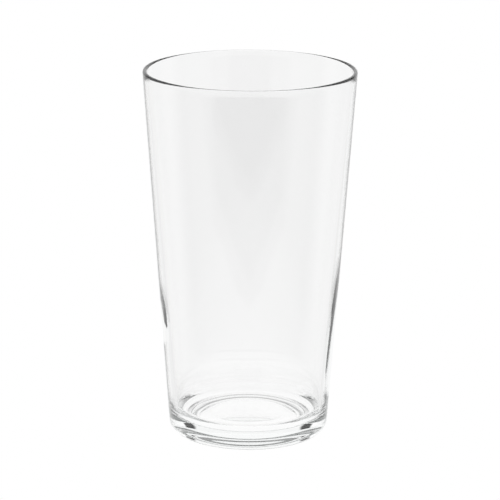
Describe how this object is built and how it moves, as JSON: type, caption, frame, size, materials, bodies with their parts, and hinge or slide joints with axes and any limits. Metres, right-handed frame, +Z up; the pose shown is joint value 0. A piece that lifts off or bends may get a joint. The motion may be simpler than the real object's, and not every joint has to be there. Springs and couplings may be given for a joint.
{
  "type": "mixing glass",
  "caption": "Conical bar mixing glass in one piece of clear glass: tapered wall, rounded rim and heel, thick floor, hollow foot; holds drink, ice and a bar spoon.",
  "frame": {"origin": "centre of the foot, on the plane the glass rests on", "axes": "+Z up along the glass's axis, out of the mouth; X and Y are alike, because the glass is round"},
  "size_m": [0.088, 0.088, 0.154],
  "materials": {
    "clear_glass": "clear soda-lime glass, smooth and glossy, with a fire-polished rim"
  },
  "bodies": {
    "root": {"mixing_glass": "clear_glass"}
  },
  "joints": []
}
